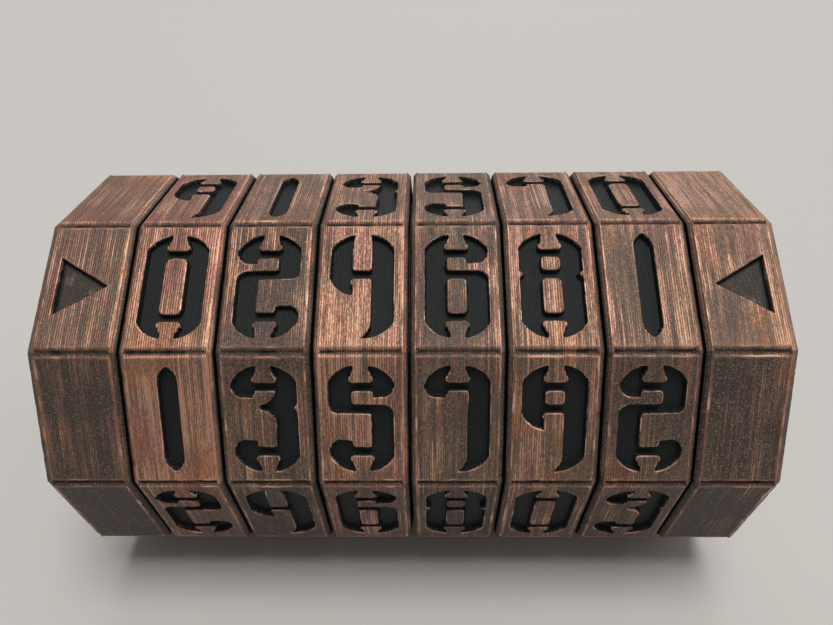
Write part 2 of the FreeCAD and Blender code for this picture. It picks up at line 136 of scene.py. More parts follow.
def digit_zero():
    outer = TOOTH + RIGHT_SHOULDER + RIGHT_SIDE + RIGHT_FOOT
    outer += BOTTOM_TOOTH + LEFT_FOOT + LEFT_SIDE + LEFT_SHOULDER
    return [(TOP_LEFT_TIP, outer), island(-1.35, 1.35, -3.95, 3.8)]


def digit_one():
    right = [(0.88, 6.3, 1.3, 5.2), (1.3, -5.2), (0.88, -6.3, 0.0, -TIP)]
    return [((0.0, TIP), right + half_turned(right))]


def digit_five():
    upper = [
        (2.95, 6.3, 4.1, 4.9),
        (3.85, 3.7, 3.0, 3.05),
        (1.5, 2.95),
        (1.5, 3.35),
        (1.37, 3.67, 1.05, 3.8),
        (-0.75, 3.8),
        (-1.07, 3.67, -1.2, 3.35),
        (-1.2, 2.5),
        (-1.07, 2.18, -0.75, 2.05),
        (2.4, 2.0),
        (3.5, 1.72, SIDE, 1.1),
    ]
    lower = [
        (-1.0, -3.7),
        (0.85, -3.75),
        (1.17, -3.62, 1.3, -3.3),
        (1.3, 0.35),
        (1.17, 0.66, 0.85, 0.8),
        (-2.9, 0.9),
        (-3.75, 1.2, -SIDE, 1.9),
        (-SIDE, SHOULDER),
    ]
    outer = TOOTH + upper + RIGHT_SIDE + RIGHT_FOOT + BOTTOM_TOOTH
    return [(TOP_LEFT_TIP, outer + BOTTOM_LEFT_LEAF + lower + LEFT_SHOULDER)]


def digit_two():
    (x, y), steps = digit_five()[0]
    return [((-x, y), mirrored(steps))]


def digit_three():
    middle = [
        (-1.2, -3.6),
        (0.8, -3.75),
        (1.15, -3.6, 1.25, -3.2),
        (1.35, -0.3),
        (0.72, 0.72, -0.6, 1.35),
        (-0.72, 1.68),
        (-0.6, 1.95),
        (0.7, 2.6, 1.4, 3.7),
        (1.15, 3.85),
        (-1.15, 3.85),
        (-1.5, 2.95),
    ]
    notch = [(SIDE, 2.2), (3.6, 1.6), (SIDE, 1.0)]
    outer = TOOTH + RIGHT_SHOULDER + notch + RIGHT_SIDE + RIGHT_FOOT
    return [(TOP_LEFT_TIP, outer + BOTTOM_TOOTH + BOTTOM_LEFT_LEAF + middle + TOP_LEFT_LEAF)]


def digit_four():
    column = [
        (-1.15, 6.1, -1.3, 5.0),
        (-1.3, 2.45),
        (-1.17, 2.13, -0.85, 2.0),
        (0.75, 2.0),
        (1.07, 2.13, 1.2, 2.45),
        (1.2, 5.0),
        (1.1, 6.1, 1.0, TIP),
    ]
    return [(TOP_LEFT_TIP, column + HOOKED_STROKE + LEFT_HOOK)]


def digit_six():
    upper = [
        (2.95, 6.3, SIDE, SHOULDER),
        (3.75, 3.75, 3.0, 3.1),
        (1.25, 2.95),
        (1.25, 3.35),
        (1.12, 3.67, 0.8, 3.8),
        (-0.85, 3.8),
        (-1.17, 3.67, -1.3, 3.35),
        (-1.3, 2.45),
        (-1.17, 2.13, -0.85, 2.0),
        (2.4, 1.95),
        (3.5, 1.62, SIDE, 0.9),
    ]
    outer = TOOTH + upper + RIGHT_SIDE + RIGHT_FOOT
    outer += BOTTOM_TOOTH + LEFT_FOOT + LEFT_SIDE + LEFT_SHOULDER
    return [(TOP_LEFT_TIP, outer), island(-1.3, 1.3, -3.9, 0.85)]


def digit_seven():
    block = [(1.35, 3.3), (1.2, 3.7, 0.8, 3.85), (-1.15, 3.85), (-1.5, 2.95)]
    return [(TOP_LEFT_TIP, TOOTH + HOOKED_STROKE + block + TOP_LEFT_LEAF)]


def digit_eight():
    right_notch = [(SIDE, 1.9), (3.45, 1.45), (SIDE, 0.85)]
    left_notch = [(-SIDE, 0.85), (-3.45, 1.45), (-SIDE, 1.9)]
    outer = TOOTH + RIGHT_SHOULDER + right_notch + RIGHT_SIDE + RIGHT_FOOT
    outer += BOTTOM_TOOTH + LEFT_FOOT + left_notch + LEFT_SIDE + LEFT_SHOULDER
    blocks = [island(-1.25, 1.25, 2.0, 3.85), island(-1.25, 1.25, -3.9, 0.85)]
    return [(TOP_LEFT_TIP, outer)] + blocks


def digit_nine():
    return [(TOP_LEFT_TIP, TOOTH + HOOKED_STROKE + LEFT_HOOK), island(-1.3, 1.25, 2.0, 3.8)]


DIGITS = (
    digit_zero(), digit_one(), digit_two(), digit_three(), digit_four(),
    digit_five(), digit_six(), digit_seven(), digit_eight(), digit_nine(),
)


def arc_points(a, b, c, spacing):
    """Points after a along the arc a-b-c, ending at c."""
    d = 2 * (a[0] * (b[1] - c[1]) + b[0] * (c[1] - a[1]) + c[0] * (a[1] - b[1]))
    if abs(d) < 1e-6:
        return line_points(a, c, spacing)
    sq = [p[0] ** 2 + p[1] ** 2 for p in (a, b, c)]
    ox = (sq[0] * (b[1] - c[1]) + sq[1] * (c[1] - a[1]) + sq[2] * (a[1] - b[1])) / d
    oy = (sq[0] * (c[0] - b[0]) + sq[1] * (a[0] - c[0]) + sq[2] * (b[0] - a[0])) / d
    radius = math.hypot(a[0] - ox, a[1] - oy)
    start, middle, end = (math.atan2(p[1] - oy, p[0] - ox) for p in (a, b, c))
    turn = 2 * math.pi
    sweep = (end - start) % turn
    if (middle - start) % turn > sweep:
        sweep -= turn
    count = max(3, math.ceil(abs(sweep) * radius / spacing))
    angles = start + sweep * np.arange(1, count + 1) / count
    return [(ox + radius * math.cos(t), oy + radius * math.sin(t)) for t in angles]


def line_points(a, b, spacing):
    """Points after a along the line from a, ending at b."""
    count = max(1, math.ceil(math.dist(a, b) / spacing))
    return [(a[0] + (b[0] - a[0]) * k / count, a[1] + (b[1] - a[1]) * k / count)
            for k in range(1, count + 1)]


OUTLINE_SPACING = 0.16


def flatten(outline):
    """An outline as a closed ring of points, the first not repeated."""
    here, steps = outline
    ring = []
    for step in steps:
        there = step[-2:]
        if len(step) == 2:
            ring += line_points(here, there, OUTLINE_SPACING)
        else:
            ring += arc_points(here, step[:2], there, OUTLINE_SPACING)
        here = there
    return np.array(ring)


# ------------------------------------------------------------------ noise
def value_noise(points, seed):
    """Smooth noise from 0 to 1 at an array of 3-D points, one unit per lump."""
    cell = np.floor(points).astype(np.int64)
    part = points - cell
    part = part * part * (3 - 2 * part)
    total = np.zeros(len(points))
    for dx in (0, 1):
        for dy in (0, 1):
            for dz in (0, 1):
                key = ((cell[:, 0] + dx) * 73856093) ^ ((cell[:, 1] + dy) * 19349663)
                key = key ^ ((cell[:, 2] + dz) * 83492791) ^ (seed * 2654435761)
                key = (key ^ (key >> 13)) * 1274126177 & 0x7FFFFFFF
                key = (key ^ (key >> 16)) & 0xFFFF
                weight = np.where(dx, part[:, 0], 1 - part[:, 0])
                weight = weight * np.where(dy, part[:, 1], 1 - part[:, 1])
                weight = weight * np.where(dz, part[:, 2], 1 - part[:, 2])
                total += weight * key / 65535
    return total


# ------------------------------------------------------------------ one face of the row
# a distance beyond anything that is measured on a face
FAR = 9.0


def segment_distance(points, rings):
    """Distance to the outlines: positive on the standing surface, negative in the recess."""
    if not rings:
        return np.full(len(points), FAR)
    best = np.full(len(points), 1e9)
    inside = np.zeros(len(points), bool)
    for ring in rings:
        a, b = ring, np.roll(ring, -1, axis=0)
        along = b - a
        rel = points[:, None, :] - a[None]
        t = np.clip((rel * along).sum(2) / (along ** 2).sum(1), 0, 1)
        gap = rel - t[..., None] * along
        best = np.minimum(best, np.sqrt((gap ** 2).sum(2)).min(1))
        above_a = points[:, None, 1] < a[None, :, 1]
        above_b = points[:, None, 1] < b[None, :, 1]
        with np.errstate(divide="ignore", invalid="ignore"):
            slope = along[:, 0] / along[:, 1]
            cross = a[None, :, 0] + (points[:, None, 1] - a[None, :, 1]) * slope
        hits = (above_a != above_b) & (points[:, None, 0] < cross)
        inside ^= hits.sum(1) % 2 == 1
    return np.where(inside, -best, best)


def ladder(ends, fine, middle):
    """Grid stops: fine offsets inwards from each end, then even steps between them."""
    low, high = ends
    starts = [low + f for f in fine[0]]
    stops = [high - f for f in reversed(fine[1])]
    count = max(2, round((stops[0] - starts[-1]) / middle))
    between = np.linspace(starts[-1], stops[0], count + 1)[1:-1]
    return np.array(starts + list(between) + stops)


# grid stops inwards from a dial's side, a cap's outer end and a corner; rings of an end
# face as shares of its outline; and rows of points beside a digit's outline. Points of a
# grid closer than MERGE become one, and triangles smaller than SLIVER are left out.
EDGE_STOPS = (0, 0.2, 0.4, 0.5, 0.58, 0.66, 0.78, 0.95, 1.2)
CAP_STOPS = (0, 0.25, 0.5, 0.75, 0.88, 0.96, 1.04, 1.14, 1.3, 1.5)
CORNER_STOPS = (0, 0.05, 0.18, 0.34, 0.48, 0.56, 0.64, 0.74, 0.9, 1.15, 1.5)
END_SHARES = (1, 0.997, 0.992, 0.985, 0.97, 0.93, 0.85, 0.7, 0.5, 0.3, 0.1, 0)
RIM_ROWS = (0.42, 0.3, 0.2, 0.13, 0.07, 0.02, -0.03, -0.07, -0.11, -0.17, -0.3)
# The plain grid keeps clear of an outline by CLEAR_OUT and CLEAR_IN, and a point of a row
# stays only where its distance is right to within MERGE and ROW_SLACK of the offset.
GRID_CELL = 0.42
MERGE = 0.012
SLIVER = 1e-7
CLEAR_OUT, CLEAR_IN = 0.5, 0.38
ROW_SLACK = 0.05


def face_grid(u_stops, outlines):
    """Points, triangles and outline distances for one face, ready to be raised."""
    v_stops = ladder((-HALF_FACE, HALF_FACE), (CORNER_STOPS, CORNER_STOPS), GRID_CELL)
    uu, vv = np.meshgrid(u_stops, v_stops, indexing="ij")
    grid = np.stack([uu.ravel(), vv.ravel()], 1)
    rings = [flatten(outline) for outline in outlines]
    gap = segment_distance(grid, rings)
    points = [grid[(gap > CLEAR_OUT) | (gap < -CLEAR_IN)]]
    for ring in rings:
        before, after = np.roll(ring, 1, axis=0), np.roll(ring, -1, axis=0)
        along = after - before
        normal = np.stack([along[:, 1], -along[:, 0]], 1)
        normal /= np.linalg.norm(normal, axis=1)[:, None] + 1e-9
        for offset in RIM_ROWS:
            for side in (1, -1):
                row = ring + normal * offset * side
                reach = segment_distance(row, rings)
                slack = MERGE + ROW_SLACK * abs(offset)
                points.append(row[np.abs(reach - offset) < slack])
    points = np.concatenate(points)
    cells = np.round(points / MERGE).astype(np.int64)
    points = points[np.sort(np.unique(cells, axis=0, return_index=True)[1])]
    made = delaunay_2d_cdt([Vector(p) for p in points], [], [], 0, SLIVER)
    spots = np.array([tuple(p) for p in made[0]])
    triangles = np.array([f for f in made[2] if len(f) == 3])
    a, b, c = (spots[triangles[:, k]] for k in range(3))
    area = (b[:, 0] - a[:, 0]) * (c[:, 1] - a[:, 1]) - (b[:, 1] - a[:, 1]) * (c[:, 0] - a[:, 0])
    triangles = triangles[np.abs(area) > SLIVER]
    area = area[np.abs(area) > SLIVER]
    triangles[area < 0] = triangles[area < 0][:, ::-1]
    # the same distance with X snapped to the middle of a printed layer, for stepped outlines
    stepped = spots.copy()
    stepped[:, 0] = (np.floor(spots[:, 0] / LAYER) + 0.5) * LAYER
    gap = segment_distance(spots, rings)
    return spots, triangles, gap, segment_distance(stepped, rings) - gap


def soft_min(a, b, radius):
    """The lower of two heights, rounded where they cross."""
    t = np.clip(0.5 + 0.5 * (b - a) / radius, 0, 1)
    return b + (a - b) * t - radius * t * (1 - t)


def ramp(x, low, high):
    """A smooth step from 0 at low to 1 at high."""
    t = np.clip((x - low) / (high - low), 0, 1)
    return t * t * (3 - 2 * t)


# The noises of the relief: the size of the lumps and a seed of its own for each. A bead is
# one printed layer, with lumps BEAD_LENGTH long that jump by BEAD_JUMP from layer to layer.
LUMPS, GRIT, WANDER, NICKS = (1.7, 0), (0.45, 7), (0.8, 3), (0.9, 5)
PATCHES, RARE_PATCHES, STAINS = (1.4, 11), (2.6, 15), (3.1, 19)
END_LUMPS, END_WEAR_AND_HIGHLIGHT = (2.1, 13), (1.9, 17)
BEAD_JUMP, BEAD_LENGTH, BEAD_SEED = 1.37, 9, 9

# The worn relief in millimetres: how far edges wander, how deep nicks cut into them and how
# they are rounded, then how uneven the flats are.
BEVEL_WANDER, BEVEL_NICK = 0.06, 0.5
GROOVE_WANDER, GROOVE_NICK = 0.07, 0.4
NICK_FROM = 0.66
GROOVE_END_SLOPE = 2.2
BEVEL_ROUND, GROOVE_ROUND = 0.26, 0.22
FLAT_LUMP, FLAT_BEAD, FLAT_DROP = 0.02, 0.014, 0.018
END_LUMP = 0.05

# The raised rim of a digit, its stepped and ragged wall, and its floor. The rim and the flat
# drop the rest of the way.
STEPPED, RAGGED, RAGGED_GRIT = 0.55, 0.07, 0.7
RIM_HEIGHT, RIM_PLACE, RIM_WIDTH, RIM_END = 0.02, 0.18, 0.1, 1.0
RIM_DROP, RIM_REACH = 0.08, 0.12
WALL_DROP, WALL_RUN = DIGIT_DEPTH - 0.1, 0.13
FLOOR_LUMP, FLOOR_BEAD = 0.04, 0.03

# where edges are rubbed bright and carry a painted highlight, and how much of that is even,
# patchy and rare
LIP_FROM, LIP_SOFT = 0.05, 0.11
SHOULDER_FROM, SHOULDER_SOFT = 0.05, 0.16
EDGE_EVEN, EDGE_PATCHY, EDGE_RARE = 0.46, 0.34, 0.6
END_RUB_AND_HIGHLIGHT_FROM = 0.982

# distances from the middle of a face between which its points start to lean inwards
LEAN_FROM, LEAN_TO = 7.55, 8.2


class Skin:
    """The worn outside of one ten-sided piece, collected face by face. Each point also
    gets four values for the material: edge (rubbed bright copper with a painted highlight),
    deep (darkened towards black: bare plastic out of the rag's reach, in the groove bottoms
    partly painted shade), hoop (distance in from the outline of an end) and cover (copper on this
    face)."""

    def __init__(self, span, bevels, slopes, groove, floor_wear, seed):
        self.span, self.bevels, self.slopes, self.groove = span, bevels, slopes, groove
        self.floor_wear, self.seed = floor_wear, seed
        self.verts, self.faces, self.count = [], [], 0
        self.edge, self.deep, self.hoop, self.cover = [], [], [], []

    def noise(self, points, size, seed):
        """Noise of this piece, with lumps of the given size."""
        return value_noise(points / size, self.seed + seed)

    def heights(self, u, v, gap, step, base):
        """Height of each point over the flat, with how bright its edge is, rubbed and painted as
        a highlight, and how sunk it is.
        """
        lumps = self.noise(base, *LUMPS) - 0.5
        grit = self.noise(base, *GRIT) - 0.5
        wander = self.noise(base, *WANDER) - 0.5
        nick = np.clip(self.noise(base, *NICKS) - NICK_FROM, 0, 1)
        layer = np.floor(u / LAYER + 0.5)
        along_layer = base[:, 1] / BEAD_LENGTH, base[:, 2] / BEAD_LENGTH
        layer_points = np.stack([layer * BEAD_JUMP, *along_layer], 1)
        bead = value_noise(layer_points, self.seed + BEAD_SEED) - 0.5

        # the flat, lowered by a bevel at either side and by the grooves at the corners
        bevel_noise, bevel_nick = BEVEL_WANDER * wander, BEVEL_NICK * nick
        low, high = self.span
        left = ((u - low) - self.bevels[0]) * self.slopes[0] + bevel_noise - bevel_nick
        right = ((high - u) - self.bevels[1]) * self.slopes[1] - bevel_noise - bevel_nick
        slope = GROOVE_DROP / GROOVE_REACH
        valley = (HALF_FACE - GROOVE_REACH - np.abs(v)) * slope
        valley = valley + GROOVE_WANDER * wander - GROOVE_NICK * nick
        within = np.minimum(u - self.groove[0], self.groove[1] - u)
        valley = np.maximum(valley, -GROOVE_END_SLOPE * np.clip(within, 0, FAR))
        flat = FLAT_LUMP * lumps + FLAT_BEAD * bead - FLAT_DROP
        top = soft_min(soft_min(flat, left, BEVEL_ROUND), right, BEVEL_ROUND)
        top = soft_min(top, valley, GROOVE_ROUND)

        # the digit: a raised rim, a ragged wall and a floor
        ragged = gap + STEPPED * step + RAGGED * (bead + RAGGED_GRIT * grit)
        rim = RIM_HEIGHT * np.exp(-(((ragged - RIM_PLACE) / RIM_WIDTH) ** 2))
        rim = rim - RIM_DROP * (1 - ramp(ragged, 0.0, RIM_REACH))
        wall = -WALL_DROP * (1 - ramp(ragged, -WALL_RUN, 0.0))
        floor = np.where(ragged < -WALL_RUN, FLOOR_LUMP * lumps + FLOOR_BEAD * bead, 0)
        height = np.clip(top + np.where(gap < RIM_END, rim, 0) + wall + floor, -DIGIT_DEPTH, 0)

        # rubbed bright and painted with a highlight: the lips of the digits and the shoulders of
        # bevels and grooves
        patchy = ramp(self.noise(base, *PATCHES), 0.35, 0.8)
        rare = ramp(self.noise(base, *RARE_PATCHES), 0.72, 0.9)
        lip = np.exp(-((np.clip(gap - LIP_FROM, 0, FAR) / LIP_SOFT) ** 2)) * (gap > -0.03)
        border = np.minimum(np.minimum(left, right), valley / slope)
        shoulder = np.exp(-((border - SHOULDER_FROM) / SHOULDER_SOFT) ** 2)
        edge = np.maximum(lip, shoulder) * (EDGE_EVEN + EDGE_PATCHY * patchy + EDGE_RARE * rare)

        # sunk, darkened towards black: the inner bevels beside a gap, the grooves and the digits,
        # with painted shade in the groove bottoms
        at_left = left if self.slopes[0] == 1.0 else 0
        at_right = right if self.slopes[1] == 1.0 else 0
        side = -np.minimum(at_left, at_right)
        stained = 0.02 + 0.2 * ramp(self.noise(base, *STAINS), 0.35, 0.75)
        grime = stained * (1 - self.floor_wear)
        seam = grime * ramp(side, 0.06, 0.2) + 0.7 * ramp(side, 0.46, 0.6)
        # groove bottoms: bare plastic with painted shade standing in for the shaded upper wall
        channel = ramp(-valley / slope, 0.3, 0.5) * ramp(within, -0.05, 0.2)
        seam = np.maximum(seam, (0.5 + 0.35 * patchy) * channel)
        streaks = ramp(bead + 0.8 * lumps, 0.1, 0.5) * ramp(-gap, 0.3, 0.9)
        scuffs = (0.42 + 0.58 * streaks) * ramp(-gap, 0.15, 0.4)
        sunk = ramp(-ragged, -0.04, 0.03) * (1 - self.floor_wear * scuffs)
        return height, np.clip(edge, 0, 1), np.maximum(sunk, seam)

    def add_face(self, grid, angle, middle, cover):
        """Raise one face's grid and put it in its place round the row."""
        spots, triangles, gap, step = grid
        turn = math.radians(angle)
        out = np.array([0, -math.cos(turn), math.sin(turn)])
        up = np.array([0, math.sin(turn), math.cos(turn)])
        u, v = spots[:, 0], spots[:, 1]
        flat = np.outer(u + middle, (1, 0, 0)) + APOTHEM * out + np.outer(v, up)
        height, edge, sunk = self.heights(u, v, gap, step, flat)
        # near a corner the points sink towards the axis, so neighbouring faces meet
        lean = ramp(np.abs(v), LEAN_FROM, LEAN_TO) * height / APOTHEM
        raised = flat + np.outer(height, out) + np.outer(v * lean, up)
        raised[:, 2] += AXIS_Z
        self.verts.append(raised)
        self.edge.append(edge)
        self.deep.append(sunk)
        self.hoop.append(np.zeros(len(spots)))
        self.cover.append(np.full(len(spots), cover))
        self.faces.append(triangles + self.count)
        self.count += len(raised)
        return raised

    def add_end(self, grid, raised, side, cover):
        """Close one sector of an end face, from the skin's last row in to the axis."""
        u, v = grid[0][:, 0], grid[0][:, 1]
        row = np.flatnonzero(np.abs(u - side * self.span[1]) < 1e-6)
        outer = raised[row[np.argsort(v[row])]]
        axis = np.array([outer[0, 0], 0, AXIS_Z])
        rings = [axis + (outer - axis) * share for share in END_SHARES]
        for ring, share in zip(rings, END_SHARES):
            lumps = self.noise(ring, *END_LUMPS)
            ring[:, 0] -= side * END_LUMP * lumps * (share < 1) * (share > 0)
        wide = len(outer)
        worn = ramp(self.noise(outer, *END_WEAR_AND_HIGHLIGHT), 0.3, 0.8)
        for ring, share in zip(rings, END_SHARES):
            self.verts.append(ring)
            # the end's outer rim: rubbed copper with a painted highlight
            self.edge.append(worn * ramp(share, END_RUB_AND_HIGHLIGHT_FROM, 1.0))
            self.deep.append(np.zeros(wide))
            self.hoop.append(np.full(wide, (1 - share) * APOTHEM + PASS / 2))
            self.cover.append(np.full(wide, cover))
        for level in range(len(rings) - 1):
            a = self.count + level * wide + np.arange(wide - 1)
            b = a + wide
            both = np.concatenate([np.stack([a, a + 1, b + 1], 1), np.stack([a, b + 1, b], 1)])
            self.faces.append(both if side < 0 else both[:, ::-1])
        self.count += wide * len(rings)


# The CAD skin, digit floors included, lies more than SKIN_FLOOR from the axis. An end face
# lies within FLAT_END of the end of the piece.
SKIN_FLOOR = 26.35
FLAT_END = 1e-3
# in metres: points this close are joined
WELD = 2e-6
SKIN_SHARP = math.radians(50)


def core_of(node, open_end=0):
    """Points of a CAD node, its triangles apart from the outer skin and from one end face,
    and where its outside starts and ends along X."""
    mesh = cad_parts[node].data
    spots = np.empty(len(mesh.vertices) * 3)
    mesh.vertices.foreach_get("co", spots)
    spots = spots.reshape(-1, 3) / MM
    mesh.calc_loop_triangles()
    corners = np.empty(len(mesh.loop_triangles) * 3, np.int32)
    mesh.loop_triangles.foreach_get("vertices", corners)
    corners = corners.reshape(-1, 3)
    reach = np.full(len(spots), -1e9)
    for k in range(FACES):
        turn = math.radians(MARKER - STEP * k)
        out = np.array([0, -math.cos(turn), math.sin(turn)])
        reach = np.maximum(reach, (spots - [0, 0, AXIS_Z]) @ out)
    outer_x = spots[:, 0][reach > SKIN_FLOOR]
    ends = [outer_x.min(), outer_x.max()]
    x = spots[:, 0][corners]
    at_low = (np.abs(x - ends[0]) < FLAT_END).all(1)
    at_high = (np.abs(x - ends[1]) < FLAT_END).all(1)
    skin = (reach[corners] > SKIN_FLOOR).all(1) & ~at_low & ~at_high
    if open_end:
        skin |= at_low if open_end < 0 else at_high
    return spots, corners[~skin], ends


def build(name, node, body, skin, core):
    """Join a worn skin to the CAD core of a node and put the piece in its place."""
    spots, corners, _ = core
    count = skin.count
    verts = np.concatenate(skin.verts + [spots]) * MM
    faces = np.concatenate(skin.faces + [corners + count])
    mesh = bpy.data.meshes.new(name)
    mesh.from_pydata(verts.tolist(), [], faces.tolist())
    for label in ("edge", "deep", "hoop", "cover"):
        inside = np.full(len(spots), 1.0 if label == "deep" else 0.0)
        values = np.concatenate(getattr(skin, label) + [inside])
        mesh.attributes.new(label, "FLOAT", "POINT").data.foreach_set("value", values)
    work = bmesh.new()
    work.from_mesh(mesh)
    bmesh.ops.remove_doubles(work, verts=work.verts, dist=WELD)
    loose = [v for v in work.verts if not v.link_faces]
    bmesh.ops.delete(work, geom=loose, context="VERTS")
    work.to_mesh(mesh)
    work.free()
    mesh.shade_smooth()
    mesh.set_sharp_from_angle(angle=SKIN_SHARP)
    piece = bpy.data.objects.new(name, mesh)
    bpy.context.scene.collection.objects.link(piece)
    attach(piece, body)
    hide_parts(node)
    return piece


# ------------------------------------------------------------------ materials
# A normal this close to X faces an end, a point with more hoop than ON_END lies on an end
# face, and so many passes of the nozzle follow its outline.
FACING_END, ON_END, OUTLINE_PASSES = 0.85, 0.01, 3.5


class Nodes:
    """Short names for the shader nodes used here."""

    def __init__(self, name):
        self.material = bpy.data.materials.new(name)
        self.material.use_nodes = True
        self.tree = self.material.node_tree
        self.shader = self.tree.nodes["Principled BSDF"]
        self.place = self.print_space()

    def set(self, socket, value):
        if isinstance(value, bpy.types.NodeSocket):
            self.tree.links.new(value, socket)
        else:
            socket.default_value = value

    def math(self, operation, a, b=0.0, clamp=False):
        node = self.tree.nodes.new("ShaderNodeMath")
        node.operation = operation
        node.use_clamp = clamp
        self.set(node.inputs[0], a)
        self.set(node.inputs[1], b)
        return node.outputs[0]

    def scaled(self, vector, factors):
        node = self.tree.nodes.new("ShaderNodeVectorMath")
        node.operation = "MULTIPLY"
        self.set(node.inputs[0], vector)
        node.inputs[1].default_value = factors
        return node.outputs[0]

    def split(self, vector):
        node = self.tree.nodes.new("ShaderNodeSeparateXYZ")
        self.set(node.inputs[0], vector)
        return node.outputs

    def join(self, x, y, z):
        node = self.tree.nodes.new("ShaderNodeCombineXYZ")
        for socket, value in zip(node.inputs, (x, y, z)):
            self.set(socket, value)
        return node.outputs[0]

    def mix_vector(self, factor, a, b):
        node = self.tree.nodes.new("ShaderNodeMix")
        node.data_type = "VECTOR"
        self.set(node.inputs["Factor"], factor)
        self.set(node.inputs[4], a)
        self.set(node.inputs[5], b)
        return node.outputs[1]

    def print_space(self):
        """Millimetres with X across the printed lines. On the sides those are the layers,
        stacked along the row. On flat ends they are slanting passes of the nozzle, inside
        a few passes that follow the outline."""
        source = self.tree.nodes.new("ShaderNodeTexCoord")
        x, y, z = self.split(self.scaled(source.outputs["Object"], [1 / MM] * 3))
        facing_end = self.math("ABSOLUTE", self.split(source.outputs["Normal"])[0])
        facing_end = self.math("GREATER_THAN", facing_end, FACING_END)
        across = self.math("MULTIPLY", self.math("ADD", y, z), math.sqrt(0.5) * LAYER / PASS)
        along = self.math("SUBTRACT", y, z)
        along = self.math("MULTIPLY", along, math.sqrt(0.5) * END_SHORTER)
        hoop = self.attribute("hoop")
        ringed = self.math("MULTIPLY", self.math("GREATER_THAN", hoop, ON_END),
                           self.math("LESS_THAN", hoop, OUTLINE_PASSES * PASS))
        outline = self.join(self.math("MULTIPLY", hoop, LAYER / PASS), y, z)
        end = self.mix_vector(ringed, self.join(across, along, x), outline)
        return self.mix_vector(facing_end, self.join(x, y, z), end)

    def point(self, scale):
        """The place in print space, divided by a lump size on each axis."""
        return self.scaled(self.place, [1 / s for s in scale])

    def noise(self, scale, detail, rough, shift, place=None):
        """Noise with lumps of the given size on each axis of print space."""
        node = self.tree.nodes.new("ShaderNodeTexNoise")
        node.noise_dimensions = "4D"
        node.inputs["W"].default_value = shift
        node.inputs["Scale"].default_value = 1.0
        node.inputs["Detail"].default_value = detail
        node.inputs["Roughness"].default_value = rough
        self.set(node.inputs["Vector"], place or self.point(scale))
        return node.outputs["Fac"]

    def ramp(self, value, low, high):
        """A smooth step from 0 at low to 1 at high."""
        node = self.tree.nodes.new("ShaderNodeMapRange")
        node.interpolation_type = "SMOOTHSTEP"
        self.set(node.inputs["Value"], value)
        node.inputs["From Min"].default_value = low
        node.inputs["From Max"].default_value = high
        return node.outputs["Result"]

    def span(self, value, low, high):
        """A value from 0 to 1 spread from low to high."""
        node = self.tree.nodes.new("ShaderNodeMapRange")
        self.set(node.inputs["Value"], value)
        node.inputs["To Min"].default_value = low
        node.inputs["To Max"].default_value = high
        return node.outputs["Result"]

    def mix(self, factor, a, b):
        node = self.tree.nodes.new("ShaderNodeMix")
        node.data_type = "RGBA"
        self.set(node.inputs["Factor"], factor)
        self.set(node.inputs["A"], a if isinstance(a, bpy.types.NodeSocket) else (*a, 1))
        self.set(node.inputs["B"], b if isinstance(b, bpy.types.NodeSocket) else (*b, 1))
        return node.outputs["Result"]

    def attribute(self, name):
        node = self.tree.nodes.new("ShaderNodeAttribute")
        node.attribute_name = name
        return node.outputs["Fac"]

    def layer_lines(self):
        """Height across each printed line: 0 in the valley between two, 1 on the crest."""
        across = self.split(self.point((LAYER, 1, 1)))[0]
        wave = self.math("COSINE", self.math("MULTIPLY", across, 2 * math.pi))
        return self.math("SUBTRACT", 0.5, self.math("MULTIPLY", wave, 0.5))

    def layer_tone(self, along, shift):
        """Noise that holds one value across each printed line and drifts along it."""
        x, y, z = self.split(self.point((LAYER, along, along)))
        place = self.join(self.math("MULTIPLY", self.math("FLOOR", x), 1.7), y, z)
        return self.noise(None, 2.0, 0.6, shift, place)

    def bump(self, height, distance):
        node = self.tree.nodes.new("ShaderNodeBump")
        node.inputs["Strength"].default_value = 1.0
        node.inputs["Distance"].default_value = distance * MM
        self.set(node.inputs["Height"], height)
        self.set(self.shader.inputs["Normal"], node.outputs[0])


# linear colours of the soot, the rubbed copper with its painted highlight on the edges, the pale
# specks painted as glints and the recesses, their black lifted and tinted blue-grey as a painted
# sheen, then the weights of the printed lines in the copper and its contrast on the end faces
SOOT_BROWN, SOOT_GREY = (0.074, 0.045, 0.034), (0.056, 0.047, 0.040)
SOOT_BARE = (0.038, 0.025, 0.020)
BRIGHT_COPPER, EDGE_HIGHLIGHT_COPPER = (0.56, 0.31, 0.21), (0.64, 0.38, 0.27)
GLINT_SPECK, RECESS_BLACK_AND_SHEEN = (0.50, 0.40, 0.34), (0.0095, 0.0125, 0.0132)
LINE_WEIGHT, TONE_WEIGHT, END_CONTRAST = 0.28, 1.6, 0.85


